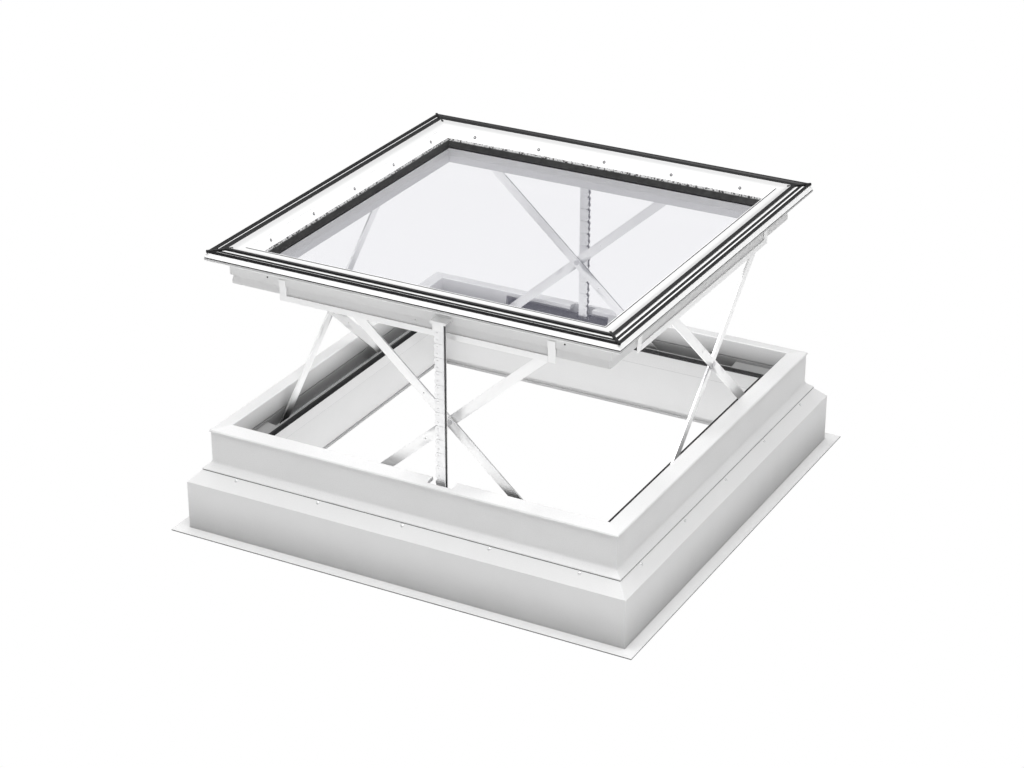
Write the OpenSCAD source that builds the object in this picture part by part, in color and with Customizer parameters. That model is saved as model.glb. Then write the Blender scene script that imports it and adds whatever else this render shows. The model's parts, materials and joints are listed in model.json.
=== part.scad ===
// Flat-roof skylight that opens for venting: an insulated kerb, a window frame on
// top of it, and a glazed sash that four scissor pairs keep level while two push
// chains lift it. Millimetres, +Z up, origin at the centre of the kerb's underside.
// The sash is drawn raised. Section points are [distance from the middle, height].

/* [Roof opening and kerb] */
// Nominal width of the roof opening
opening_w = 1200; // [1100:10:1400]
// Depth of the kerb from the opening to its outer face
kerb_depth = 102; // [95:1:130]
// Height of the kerb
kerb_h = 186; // [160:1:220]
// Width and height of the weathered slope round the kerb's top
kerb_slope = 35; // [20:1:45]
// Width of the roof flange round the foot
flange_w = 38; // [25:1:60]
// Thickness of the roof flange
flange_t = 3; // [2:0.5:6]
// Height of the lining's lower edge
lining_foot_h = 27; // [20:1:36]
// Depth of the rebate under the lining, for the ceiling boards
foot_rebate_d = 14; // [8:1:20]
// How far the lining leans in from foot to kerb top
lining_lean = 44; // [30:1:60]

/* [Frame] */
// Height of the frame from the kerb to the rim's inner edge
frame_h = 129.5; // [120:0.5:160]
// Set-back of the frame's wall from the kerb's top edge
frame_setback = 19.5; // [14:0.5:25]
// How far the frame's foot stands over the kerb's top edge
foot_overhang = 2; // [1:0.5:4]
// Height of the sloping foot
foot_h = 17; // [12:1:22]
// Overhang of the rim
rim_lip = 4; // [2:0.5:8]
// Width of the rim's sloping top
rim_w = 49; // [46:1:60]
// Fall of the rim's top towards the outside
rim_fall = 8; // [6:1:14]
// How far the face below the rim leans in
rim_lean = 10; // [7:0.5:14]
// Width of the trough that holds the scissors
trough_w = 32; // [26:0.5:34]
// Height of the trough's floor over the kerb
trough_floor_h = 13; // [8:1:15]
// Height of the inner wall over the kerb
inner_wall_h = 63; // [62:1:72]
// Thickness of the inner wall at its top
inner_wall_t = 19.5; // [17:0.5:26]
// How far the frame's lining leans in
frame_lean = 21; // [14:1:23]
// Height of the frame gasket over the inner wall
gasket_h = 1.2; // [1:0.1:4]
// Distance between frame screws
frame_screw_pitch = 275; // [200:5:290]

/* [Sash] */
// Height of the sash from its inner bottom edge to its top
sash_h = 104; // [100:1:120]
// How far the sash reaches in past the lining's top edge
sash_overlap = 12; // [8:1:20]
// Set-back of the sash's lip from the rim's outer edge
lip_setback = 9.5; // [6:0.5:18]
// Height of the lip's outer edge
lip_edge_h = 21.5; // [20:0.5:30]
// Gap between the drop under the lip and the trough's wall
drop_gap = 4.5; // [4.5:0.5:8]
// Width of the flat land that closes on the frame gasket
land_w = 26; // [22:1:30]
// Slope of the sash's underside past the land, rise per unit of depth
underside_slope = 0.24; // [0.22:0.01:0.3]
// Gap that is left to the gasket when the sash is shut
seal_gap = 0.8; // [0.5:0.1:2]
// Depth of the glass below the sash's top
glass_drop = 54; // [50:1:60]
// Thickness of the outer pane
outer_pane_t = 4; // [4:0.1:8]
// Gap between the panes
pane_gap = 16; // [12:1:18]
// Thickness of the inner pane
inner_pane_t = 6.4; // [4:0.1:9]
// Width of the rebate that holds the glass
rebate_w = 22; // [18:1:26]
// Height of the glazing bead
bead_h = 30; // [26:1:32]
// Depth of the seals below the sash's top
seal_t = 6; // [4:0.5:8]
// Height of the seals' crests over the sash's top
seal_rise = 6; // [4:0.5:8]
// Distance between bead screws
bead_screw_pitch = 224; // [160:2:250]

/* [Scissors] */
// Distance between the end pivots of an arm
arm_len = 794; // [780:1:820]
// Width of an arm
arm_w = 28.5; // [24:0.5:30]
// Thickness of an arm
arm_t = 5; // [4:0.5:5.5]
// How far the sash rises
stroke = 500; // [400:5:520]
// Height between the two pivot lines when the sash is shut
shut_rise = 29; // [27:0.5:30]
// Height of a rail
rail_h = 18; // [17:0.5:19]
// Depth of a rail
rail_d = 9; // [8.5:0.5:10]
// Radius of the pivot shafts
pivot_r = 4; // [3:0.1:4.2]
// Radius of the rivet where the arms cross
rivet_r = 5; // [4:0.1:6]

/* [Chain drive] */
// Place of the chain along its side, from the middle
chain_x = 94; // [80:1:120]
// Width of the chain
chain_w = 30; // [24:1:32]
// Depth of the chain across its plates
chain_d = 16; // [14:1:24]
// Target distance between chain pins
chain_pitch_goal = 20; // [20:1:26]
// Width of the notch in the rim
notch_w = 77; // [70:1:90]
// Depth of the drive's recess in the frame
recess_d = 41.5; // [40:0.5:43]
// Length of the drive from the chain to its far end
drive_far = 263; // [200:1:290]
// Length of the drive from the chain to its near end
drive_near = 85; // [60:1:100]

/* [Hidden] */
$fn = 48;
SIDES = ["front", "right", "back", "left"];
TURNS = [0, 1, 2, 3];
DRIVEN = [0, 2];

function names(first, turns) = [for (k = turns) str(first, "_", SIDES[k])];
function arm_names(last) = [for (side = SIDES) str(side, "_", last)];

// Clearances
running_gap = 0.05;
face_gap = 0.2;
slide_gap = 0.3;

// Stations of the kerb and the frame
opening_in = opening_w / 2;
kerb_out = opening_in + kerb_depth;
flange_out = kerb_out + flange_w;
kerb_top_out = kerb_out - kerb_slope;
opening_play = 6;
lining_foot = opening_in + opening_play;
lining_mid = lining_foot - lining_lean;
foot_in = lining_foot + foot_rebate_d;
rebate_rise = 2;
rebate_deep = 5;
foot_lip_h = 7;
frame_out = kerb_top_out - frame_setback;
foot_out = kerb_top_out + foot_overhang;
foot_edge_h = 3;
foot_round = 4;
rim_out = frame_out + rim_lip;
rim_in = rim_out - rim_w;
rim_z = kerb_h + frame_h;
rim_edge_z = rim_z - rim_fall;
rim_edge_h = 5;
rim_under = 2;
rim_nose = 2.5;
rim_pitch = rim_fall / rim_w;
trough_out = rim_in - rim_lean;
trough_in = trough_out - trough_w;
trough_z = kerb_h + trough_floor_h;
inner_wall_z = kerb_h + inner_wall_h;
lining_top = trough_in - inner_wall_t;
lining_chamfer = 6;
ledge_rise = 4;
rim_face_h = 48.5;
groove_z = rim_z - rim_face_h;
groove_h = 4;
groove_d = 3;

// Frame gasket
gasket_z = inner_wall_z + gasket_h;
gasket_reach = 1.5;
gasket_front = lining_top - gasket_reach;
gasket_crest_out = 5;
gasket_crest = lining_top + gasket_crest_out;
gasket_heel_w = 7.5;
gasket_heel = gasket_crest + gasket_heel_w;
gasket_heel_fall = 0.4;
gasket_fall = 7.8;

// Stations of the sash, raised by the stroke
sash_in = lining_top - sash_overlap;
sash_z = gasket_z + seal_gap + stroke;
land_out = sash_in + land_w;
sash_top = sash_z + sash_h;
drop_out = trough_out - drop_gap;
drop_step = 4;
drop_upper = drop_out + drop_step;
drop_foot_w = 6;
drop_foot_in = drop_out - drop_foot_w;
drop_foot_top = sash_z + underside_slope * (drop_foot_in - sash_in);
land_top = sash_z + underside_slope * land_w;
drop_cove_d = 2;
drop_cove_h = 6;
drop_flare_h = 17;
lip_out = rim_out - lip_setback;
lip_edge_z = sash_top - lip_edge_h;
lip_under = 5;
bevel_w = 8.5;
bevel_h = 13.5;
bevel_z = sash_top - bevel_h;
bevel_groove_d = 4;
bevel_groove_h = 4;

// Glass, bead and seals
glass_top = sash_top - glass_drop;
cavity_top = glass_top - outer_pane_t;
cavity_low = cavity_top - pane_gap;
glass_seat = cavity_low - inner_pane_t;
rebate_out = sash_in + rebate_w;
glass_edge_gap = 3;
glass_edge = rebate_out - glass_edge_gap;
spacer_w = 11;
bead_low_z = sash_top - bead_h;
gasket_lean = 12;
bead_lean = 14;
bead_low_in = sash_in + gasket_lean;
bead_top_in = bead_low_in + bead_lean;
bead_seat_w = 9;
bead_back = rebate_out + bead_seat_w;
bead_flange_w = 33;
bead_out = bead_back + bead_flange_w;
ramp_w = 16;
glazing_gasket_w = 8;
seal_floor = sash_top - seal_t;
seal_crest = sash_top + seal_rise;
seal_round = 1.5;
inner_seal_w = 3.5;
inner_seal_out = bead_out + inner_seal_w;
rib_w = 8;
rib_draft = 1;
outer_seal_in = inner_seal_out + rib_w + 2 * rib_draft;
outer_seal_out = lip_out - bevel_w;
flat_seal_w = 10.5;
flat_seal_h = 0.5;
fin_in = outer_seal_in + flat_seal_w;
fin_w = 3.5;
fin_out = fin_in + fin_w;
fin_h = 2.5;
crest_seal_low = 3;

// Rails and arms, as distances from the middle
lower_rail_out = trough_out;
lower_rail_in = lower_rail_out - rail_d;
rail_pass_gap = 1;
upper_rail_out = trough_out - rail_pass_gap;
upper_rail_in = upper_rail_out - rail_d;
rivet_room = 2.5;
outer_arm_out = upper_rail_in - rivet_room;
outer_arm_in = outer_arm_out - arm_t;
arm_gap = 0.5;
inner_arm_out = outer_arm_in - arm_gap;
inner_arm_in = inner_arm_out - arm_t;
rail_web = 1.8;
rail_lip = 1.6;
rail_wall = 2;
rail_cavity_h = rail_h - 2 * rail_wall;
rail_lip_h = 1.8;
slot_h = rail_cavity_h - 2 * rail_lip_h;
roller_r = rail_cavity_h / 2 - slide_gap;
neck_r = slot_h / 2 - slide_gap;
collar_step = 2.6;
collar_r = neck_r + collar_step;
head_step = 1;
head_r = collar_r + head_step;
head_t = 1.9;
rivet_step = 3;
rivet_head_r = rivet_r + rivet_step;

// Pivot lines
arm_floor_gap = 2.75;
lower_pivot_z = trough_z + arm_w / 2 + arm_floor_gap;
open_rise = shut_rise + stroke;
upper_pivot_z = lower_pivot_z + open_rise;
shut_span = sqrt(arm_len * arm_len - shut_rise * shut_rise);
open_span = sqrt(arm_len * arm_len - open_rise * open_rise);
open_angle = asin(open_rise / arm_len);
pivot_x = shut_span / 2;
slider_x = pivot_x - open_span;
crossing_x = pivot_x - open_span / 2;
crossing_z = lower_pivot_z + open_rise / 2;
arm_hole_r = 2.5;
arm_hole_off = 107;

// Drop under the sash's lip: its foot stands on the rail, its cove starts a little over the rail
drop_foot_z = upper_pivot_z + rail_h / 2;
drop_cove_over = 27;
drop_cove_z = drop_foot_z + drop_cove_over;

// Rail ends, brackets and the trough's length
rail_end = 10;
rail_half = pivot_x + rail_end;
bracket_w = 23;
bracket_t = 3;
strap_t = 2;
strap_crank = 3;
strap_top_h = 19;
trough_end_gap = 10;
trough_half = rail_half + bracket_w + trough_end_gap;

// Drive, its recess and the chain
recess_out = trough_out + recess_d;
recess_sill = 5.5;
recess_z = lower_pivot_z + rail_h / 2 + recess_sill;
rim_over_recess = 13.5;
recess_top = rim_z - rim_over_recess;
recess_end_gap = 7;
notch_shift = 4;
notch_x = chain_x + notch_shift;
drive_gap = 2;
drive_in_gap = 3.5;
drive_in = trough_out + drive_in_gap;
drive_out = recess_out - drive_gap;
drive_head_gap = 20;
drive_h = recess_top - recess_z - drive_head_gap;
drive_top = recess_z + drive_h;
drive_cap_l = 10;
drive_cap_proud = 1.5;
drive_groove = 4;
chain_channel_w = 44;
channel_wall = 2;
channel_floor = 8;
channel_z = recess_z + channel_floor;
chain_gap = 2;
chain_in = (drive_in + drive_out - chain_d) / 2;
chain_out = chain_in + chain_d;
chain_lobe = 9.8;
chain_pin_x = chain_x - chain_w / 2 + chain_lobe;
chain_back = chain_w - chain_lobe;
chain_narrow = 2;
chain_plate_t = 2.4;
chain_layer_gap = 0.2;
chain_pin_r = 3.2;
chain_roller_r = 6.5;
chain_low_z = channel_z + chain_lobe + chain_gap;
shelf_step = 13;
chain_bracket_z = drop_cove_z + shelf_step;
chain_top_z = chain_bracket_z - chain_lobe - chain_gap;
chain_links = 2 * round((chain_top_z - chain_low_z) / chain_pitch_goal / 2);
chain_pitch = (chain_top_z - chain_low_z) / chain_links;
chain_shoulder_gap = 0.3;
chain_waist = 2;

// Bracket that ties the chain to the sash
bracket_plate_w = 50;
bracket_plate_low = 3;
bracket_fold_h = 8;
chain_lip_w = 34;
chain_lip_gap = 0.5;
chain_lip_in = chain_out + chain_lip_gap;
chain_lip_drop = 24;

// Screws
screw_count = 5;
frame_screw_r = 5;
frame_screw_down = 7;
frame_screw_len = 22;
bead_screw_r = 4;
bead_screw_len = 18;
screw_head_t = 2;
screw_shank_r = 2.2;

// Height that is over everything, for cutting tools
reach = 2 * flange_out;

// Places one side's piece on side k, counted from the front
module on_side(k) {
    rotate([0, 0, 90 * k]) children();
}

// Straight length of a section along the front side
module run(points, half) {
    rotate([90, 0, 90])
        linear_extrude(height = 2 * half, center = true)
            polygon([for (p = points) [-p[0], p[1]]]);
}

// Bar along the front side with its ends cut at 45 degrees
module mitred_bar(points) {
    intersection() {
        run(points, reach);
        translate([0, 0, -reach])
            linear_extrude(height = 2 * reach)
                polygon([[0, 0], [-reach, -reach], [reach, -reach]]);
    }
}

// Closed square ring of one section
module ring(points) {
    for (k = TURNS) on_side(k) mitred_bar(points);
}

// Block on the front side, from two x values, two distances and two heights
module block(x, s, z) {
    translate([x[0], -s[1], z[0]]) cube([x[1] - x[0], s[1] - s[0], z[1] - z[0]]);
}

// Round piece across the front side at [x, z], between two distances
module round_across(place, s, r) {
    translate([place[0], -s[1], place[1]]) rotate([-90, 0, 0]) cylinder(h = s[1] - s[0], r = r);
}

// Screw on a sloping face: place is [distance, height], lean is the face normal's angle over the horizontal
module sloped_screw(x, place, lean, head_r, len) {
    translate([x, -place[0], place[1]]) rotate([90 - lean, 0, 0]) {
        cylinder(h = screw_head_t, r = head_r);
        translate([0, 0, -len]) cylinder(h = len + screw_head_t / 2, r = screw_shank_r);
    }
}

function screw_places(pitch) = [for (i = [0 : screw_count - 1]) (i - (screw_count - 1) / 2) * pitch];

// Kerb
kerb_section = [
    [flange_out, 0],
    [flange_out, flange_t],
    [kerb_out, flange_t],
    [kerb_out, kerb_h - kerb_slope],
    [kerb_top_out, kerb_h],
    [lining_mid, kerb_h],
    [lining_foot, lining_foot_h],
    [foot_in + rebate_deep, lining_foot_h - rebate_rise],
    [foot_in + rebate_deep, foot_lip_h],
    [foot_in, foot_lip_h],
    [foot_in, 0]
];

module kerb() {
    color("gainsboro") mitred_bar(kerb_section);
}

// Frame
frame_section = [
    [foot_out, kerb_h],
    [foot_out, kerb_h + foot_edge_h],
    [frame_out + foot_round, kerb_h + foot_h],
    [frame_out, kerb_h + foot_h + 2 * foot_round],
    [frame_out, rim_edge_z - rim_edge_h - rim_under],
    [rim_out, rim_edge_z - rim_edge_h],
    [rim_out, rim_edge_z - rim_nose],
    [rim_out - rim_nose, rim_edge_z + rim_nose * rim_pitch],
    [rim_in + rim_nose, rim_z - rim_nose * rim_pitch],
    [rim_in - rim_nose * rim_lean / rim_face_h, rim_z - rim_nose],
    [trough_out, groove_z],
    [trough_out + groove_d, groove_z - groove_h / 3],
    [trough_out + groove_d, groove_z - groove_h],
    [trough_out, groove_z - groove_h],
    [trough_out, inner_wall_z + ledge_rise],
    [trough_in, inner_wall_z],
    [lining_top + lining_chamfer, inner_wall_z],
    [lining_top, inner_wall_z - lining_chamfer],
    [lining_top + frame_lean, kerb_h]
];

module frame(k) {
    driven = k % 2 == 0;
    color("white") difference() {
        mitred_bar(frame_section);
        block([-trough_half, trough_half], [trough_in, trough_out], [trough_z, reach]);
        if (driven) drive_recess();
    }
}

// Recess for the drive, with the notch that lets the chain out through the rim
module drive_recess() {
    near = chain_x - drive_near - recess_end_gap;
    far = chain_x + drive_far + recess_end_gap;
    block([near, far], [trough_in, recess_out], [recess_z, recess_top]);
    block([notch_x - notch_w / 2, notch_x + notch_w / 2], [trough_in, recess_out], [recess_z, reach]);
}

module frame_gasket() {
    color("dimgray") ring([
        [lining_top + lining_chamfer, inner_wall_z],
        [gasket_heel, inner_wall_z],
        [gasket_heel, gasket_z - gasket_heel_fall],
        [gasket_crest, gasket_z],
        [gasket_front, gasket_z - gasket_fall],
        [lining_top, inner_wall_z - lining_chamfer]
    ]);
}

module frame_screws() {
    middle = [kerb_top_out + frame_screw_down, kerb_h - frame_screw_down];
    color("silver") for (k = TURNS, x = screw_places(frame_screw_pitch))
        on_side(k) sloped_screw(x, middle, 45, frame_screw_r, frame_screw_len);
}

// Rails: a lipped channel whose slot faces the arms
module rail(s_in, s_out, middle_z) {
    slot = slot_h / 2;
    cavity = rail_cavity_h / 2;
    outer = rail_h / 2;
    color("whitesmoke") translate([0, 0, middle_z]) run([
        [s_in, slot],
        [s_in, outer],
        [s_out, outer],
        [s_out, -outer],
        [s_in, -outer],
        [s_in, -slot],
        [s_in + rail_lip, -slot],
        [s_in + rail_lip, -cavity],
        [s_out - rail_web, -cavity],
        [s_out - rail_web, cavity],
        [s_in + rail_lip, cavity],
        [s_in + rail_lip, slot]
    ], rail_half);
}

module lower_rail() {
    rail(lower_rail_in, lower_rail_out, lower_pivot_z);
}

module upper_rail() {
    rail(upper_rail_in, upper_rail_out, upper_pivot_z);
}

// Pin that a rail holds: head, shaft in the arm, collar on the rail's lips, neck and foot inside the rail
module rail_pin(place, arm_in, arm_out, rail_in, rail_out) {
    foot_in = rail_in + rail_lip + face_gap;
    foot_out_s = rail_out - rail_web;
    round_across(place, [arm_in - face_gap - head_t, arm_in - face_gap], head_r);
    round_across(place, [arm_in - face_gap - head_t, arm_out + face_gap], pivot_r);
    round_across(place, [arm_out + face_gap, rail_in], collar_r);
    round_across(place, [arm_out + face_gap, foot_out_s], neck_r);
    round_across(place, [foot_in, foot_out_s], roller_r);
}

// Stud that an arm holds: head, shaft in the arm, collar, neck in the rail's slot and roller inside the rail
module slide_stud(place, arm_in, arm_out, rail_in, rail_out) {
    roller_in = rail_in + rail_lip + slide_gap;
    roller_out = rail_out - rail_web - slide_gap;
    round_across(place, [arm_in - head_t, arm_in], collar_r);
    round_across(place, [arm_in - head_t, arm_out], pivot_r);
    round_across(place, [arm_out, rail_in - slide_gap], collar_r);
    round_across(place, [arm_out, roller_out], neck_r);
    round_across(place, [roller_in, roller_out], roller_r);
}

module lower_pivot_pins() {
    color("silver") for (k = TURNS)
        on_side(k) rail_pin([pivot_x, lower_pivot_z], outer_arm_in, outer_arm_out, lower_rail_in, lower_rail_out);
}

module upper_pivot_pins() {
    color("silver") for (k = TURNS)
        on_side(k) rail_pin([pivot_x, upper_pivot_z], inner_arm_in, inner_arm_out, upper_rail_in, upper_rail_out);
}

// Arm with its first pivot at the origin and its bar along +X, between two distances
module arm(s, hole_at) {
    half = arm_w / 2;
    thick = s[1] - s[0];
    translate([0, -s[1], 0]) difference() {
        rotate([-90, 0, 0]) linear_extrude(height = thick) union() {
            circle(r = half);
            translate([arm_len, 0]) circle(r = half);
            translate([0, -half]) square([arm_len, arm_w]);
        }
        arm_bore(0, thick, pivot_r + running_gap);
        arm_bore(arm_len / 2, thick, rivet_r + running_gap);
        arm_bore(arm_len, thick, pivot_r + running_gap);
        arm_bore(hole_at, thick, arm_hole_r);
    }
}

module arm_bore(x, thick, r) {
    translate([x, -thick, 0]) rotate([-90, 0, 0]) cylinder(h = 3 * thick, r = r);
}

module outer_arm() {
    color("lightgray") translate([pivot_x, 0, lower_pivot_z]) rotate([0, open_angle - 180, 0])
        arm([outer_arm_in, outer_arm_out], arm_len / 2 + arm_hole_off);
}

module inner_arm() {
    color("lightgray") translate([slider_x, 0, lower_pivot_z]) rotate([0, -open_angle, 0])
        arm([inner_arm_in, inner_arm_out], arm_len / 2 - arm_hole_off);
}

module outer_arm_studs() {
    crossing = [crossing_x, crossing_z];
    color("silver") {
        slide_stud([slider_x, upper_pivot_z], outer_arm_in, outer_arm_out, upper_rail_in, upper_rail_out);
        round_across(crossing, [inner_arm_in - face_gap - head_t, inner_arm_in - face_gap], rivet_head_r);
        round_across(crossing, [inner_arm_in - face_gap - head_t, outer_arm_out + head_t], rivet_r);
        round_across(crossing, [outer_arm_out, outer_arm_out + head_t], rivet_head_r);
    }
}

module inner_arm_stud() {
    color("silver")
        slide_stud([slider_x, lower_pivot_z], inner_arm_in, inner_arm_out, lower_rail_in, lower_rail_out);
}

// Cranked straps that hang the upper rails from the sash, one at each end of a rail
module rail_bracket() {
    low = upper_pivot_z - rail_h / 2;
    x = [rail_half, rail_half + bracket_w];
    block(x, [drop_out, drop_out + bracket_t], [low, drop_cove_z]);
    block(x, [drop_out, drop_upper + strap_t], [drop_cove_z - strap_crank, drop_cove_z]);
    block(x, [drop_upper, drop_upper + strap_t], [drop_cove_z - strap_crank, drop_cove_z + strap_top_h]);
    block([rail_half, rail_half + bracket_t], [upper_rail_in, drop_out + bracket_t], [low, low + rail_h]);
}

module rail_brackets() {
    color("whitesmoke") for (k = TURNS, flip = [0, 1])
        on_side(k) mirror([flip, 0, 0]) rail_bracket();
}

// Sash
sash_section = [
    [sash_in, sash_z],
    [sash_in, glass_seat],
    [rebate_out, glass_seat],
    [rebate_out, bead_low_z],
    [bead_back, bead_low_z],
    [bead_back, seal_floor],
    [inner_seal_out, seal_floor],
    [inner_seal_out + rib_draft, sash_top],
    [inner_seal_out + rib_draft + rib_w, sash_top],
    [outer_seal_in, seal_floor],
    [fin_in, seal_floor],
    [fin_in, sash_top + fin_h],
    [fin_out, sash_top + fin_h],
    [fin_out, seal_floor],
    [outer_seal_out, seal_floor],
    [outer_seal_out, sash_top - rib_draft],
    [outer_seal_out + bevel_w, bevel_z],
    [lip_out - bevel_groove_d, bevel_z],
    [lip_out - bevel_groove_d, bevel_z - bevel_groove_h],
    [lip_out, bevel_z - bevel_groove_h],
    [lip_out, lip_edge_z],
    [lip_out - lip_under, lip_edge_z - lip_under],
    [drop_upper, lip_edge_z - lip_under],
    [drop_upper, drop_cove_z],
    [drop_out - drop_cove_d, drop_cove_z],
    [drop_out - drop_cove_d, drop_cove_z - drop_cove_h],
    [drop_out, drop_cove_z - drop_flare_h],
    [drop_out, drop_foot_z],
    [drop_foot_in, drop_foot_z],
    [drop_foot_in, drop_foot_top],
    [land_out, land_top],
    [land_out, sash_z]
];

module sash() {
    color("white") mitred_bar(sash_section);
}

// Outer seal: a flat strip and a raised one, with the sash's fin between them
module outer_seal() {
    color("dimgray") {
        ring([
            [outer_seal_in, seal_floor],
            [outer_seal_in, sash_top - flat_seal_h],
            [outer_seal_in + seal_round, sash_top + flat_seal_h],
            [fin_in, sash_top + flat_seal_h],
            [fin_in, seal_floor]
        ]);
        ring([
            [fin_out, seal_floor],
            [fin_out, sash_top + flat_seal_h],
            [fin_out + seal_round, sash_top + crest_seal_low],
            [outer_seal_out - 2 * seal_round, seal_crest],
            [outer_seal_out, seal_crest - flat_seal_h],
            [outer_seal_out, seal_floor]
        ]);
    }
}

// Inner seal: a lip behind the bead's ramp
module inner_seal() {
    color("dimgray") ring([
        [bead_out, seal_floor],
        [bead_out, seal_crest],
        [inner_seal_out - seal_round, seal_crest],
        [inner_seal_out, seal_crest - seal_round],
        [inner_seal_out, seal_floor]
    ]);
}

module glazing_gasket() {
    color("dimgray") ring([
        [bead_low_in, bead_low_z],
        [sash_in, glass_top],
        [sash_in + 2 * glazing_gasket_w, glass_top],
        [bead_low_in + glazing_gasket_w, bead_low_z]
    ]);
}

module glazing_bead() {
    color("white") mitred_bar([
        [bead_low_in, bead_low_z],
        [bead_top_in, sash_top],
        [bead_out - ramp_w, sash_top],
        [bead_out, seal_crest],
        [bead_out, seal_floor],
        [bead_back, seal_floor],
        [bead_back, bead_low_z]
    ]);
}

module bead_screws() {
    run_out = bead_top_in - bead_low_in;
    middle = [bead_low_in + run_out / 2, bead_low_z + bead_h / 2];
    lean = 180 - atan2(run_out, bead_h);
    color("silver") for (k = TURNS, x = screw_places(bead_screw_pitch))
        on_side(k) sloped_screw(x, middle, lean, bead_screw_r, bead_screw_len);
}

// Glass
module pane(low, thick) {
    color("lavender", 0.35) translate([-glass_edge, -glass_edge, low])
        cube([2 * glass_edge, 2 * glass_edge, thick]);
}

module glass_outer_pane() {
    pane(cavity_top, outer_pane_t);
}

module glass_inner_pane() {
    pane(glass_seat, inner_pane_t);
}

module glass_spacer() {
    color("silver") ring([
        [sash_in, cavity_low],
        [sash_in, cavity_top],
        [sash_in + spacer_w, cavity_top],
        [sash_in + spacer_w, cavity_low]
    ]);
}

// Chain drive: a long housing with end caps and an upright channel for the chain
module chain_drive() {
    near = chain_x - drive_near;
    far = chain_x + drive_far;
    s = [drive_in, drive_out];
    z = [recess_z, drive_top];
    mid_s = [drive_in + drive_cap_proud, drive_out - drive_cap_proud];
    mid_top = drive_top - drive_cap_proud;
    half_channel = chain_channel_w / 2;
    color("darkgray") difference() {
        union() {
            block([near, far], mid_s, [recess_z, mid_top]);
            block([near, near + drive_cap_l], s, z);
            block([far - drive_cap_l, far], s, z);
            block([chain_x - half_channel - drive_cap_l, chain_x + half_channel + drive_cap_l], s, z);
        }
        block([chain_x - half_channel, chain_x + half_channel],
              [drive_in + channel_wall, drive_out - channel_wall], [channel_z, reach]);
        block([chain_x + half_channel + 2 * drive_cap_l, far - 2 * drive_cap_l],
              [0, mid_s[0] + drive_cap_proud], [recess_z + drive_h / 2, recess_z + drive_h / 2 + drive_groove]);
    }
}

// Outline of a chain plate from pin i to the next: round ends with a waist on one edge, a straight back on the other
module plate_outline(i, lobe) {
    z = [chain_low_z + i * chain_pitch, chain_low_z + (i + 1) * chain_pitch];
    back_low = z[0] - chain_pitch / 2 + chain_shoulder_gap;
    back_high = z[1] + chain_pitch / 2 - chain_shoulder_gap;
    for (pin_z = z) translate([chain_pin_x, pin_z]) circle(r = lobe);
    translate([chain_pin_x - lobe + chain_waist, z[0]]) square([lobe - chain_waist, chain_pitch]);
    translate([chain_pin_x, back_low]) square([chain_back, back_high - back_low]);
}

module chain_plate(i, s, lobe, hole_r) {
    translate([0, -s, 0]) rotate([90, 0, 0]) linear_extrude(height = chain_plate_t) difference() {
        plate_outline(i, lobe);
        if (hole_r > 0) for (step = [0, 1])
            translate([chain_pin_x, chain_low_z + (i + step) * chain_pitch]) circle(r = hole_r);
    }
}

module chain_link(i) {
    outer = i % 2 == 0;
    layer = outer ? 0 : chain_plate_t + chain_layer_gap;
    hole = chain_pin_r + running_gap;
    inner_face = [chain_in + layer + chain_plate_t, chain_out - layer - chain_plate_t];
    for (s = [chain_in + layer, chain_out - layer - chain_plate_t])
        chain_plate(i, s, outer ? chain_lobe : chain_lobe - chain_narrow, outer ? 0 : hole);
    for (step = [0, 1]) {
        place = [chain_pin_x, chain_low_z + (i + step) * chain_pitch];
        if (outer) round_across(place, [chain_in, chain_out], chain_pin_r);
        else difference() {
            round_across(place, inner_face, chain_roller_r);
            round_across(place, [chain_in, chain_out], hole);
        }
    }
}

module push_chain() {
    color("silver") for (i = [0 : chain_links - 1]) chain_link(i);
}

// Folded bracket on the sash: plate on the drop, shelf over the chain, fold and tongue in front of its last link
module chain_bracket() {
    half = bracket_plate_w / 2;
    lip_half = chain_lip_w / 2;
    x = [chain_x - half, chain_x + half];
    top = chain_bracket_z + bracket_t;
    color("whitesmoke") {
        block(x, [drop_upper, drop_upper + bracket_t], [drop_cove_z + bracket_plate_low, top]);
        block(x, [drop_upper, chain_lip_in + bracket_t], [chain_bracket_z, top]);
        block(x, [chain_lip_in, chain_lip_in + bracket_t], [top - bracket_fold_h, top]);
        block([chain_x - lip_half, chain_x + lip_half], [chain_lip_in, chain_lip_in + bracket_t],
              [chain_bracket_z - chain_lip_drop, top]);
    }
}

// What is drawn
for (k = TURNS) on_side(k) kerb();
for (k = TURNS) on_side(k) frame(k);
frame_gasket();
frame_screws();
for (k = TURNS) on_side(k) lower_rail();
lower_pivot_pins();
for (k = DRIVEN) on_side(k) chain_drive();
for (k = DRIVEN) on_side(k) push_chain();
for (k = TURNS) on_side(k) sash();
outer_seal();
inner_seal();
glazing_gasket();
glass_outer_pane();
glass_inner_pane();
glass_spacer();
for (k = TURNS) on_side(k) glazing_bead();
bead_screws();
for (k = TURNS) on_side(k) upper_rail();
rail_brackets();
upper_pivot_pins();
for (k = DRIVEN) on_side(k) chain_bracket();
for (k = TURNS) on_side(k) outer_arm();
for (k = TURNS) on_side(k) inner_arm();
for (k = TURNS) on_side(k) outer_arm_studs();
for (k = TURNS) on_side(k) inner_arm_stud();
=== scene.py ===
# %% [markdown]
# A skylight for a flat roof, dressed for a studio picture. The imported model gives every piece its
# place and size, so nothing is fitted here by hand. The lesson rounds the edges of those pieces,
# models the seals, screws and chains closer than a CAD model needs them, and gives each one its finish.

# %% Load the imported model
import json
import math

import bmesh
import bpy
from mathutils import Matrix, Vector


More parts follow.
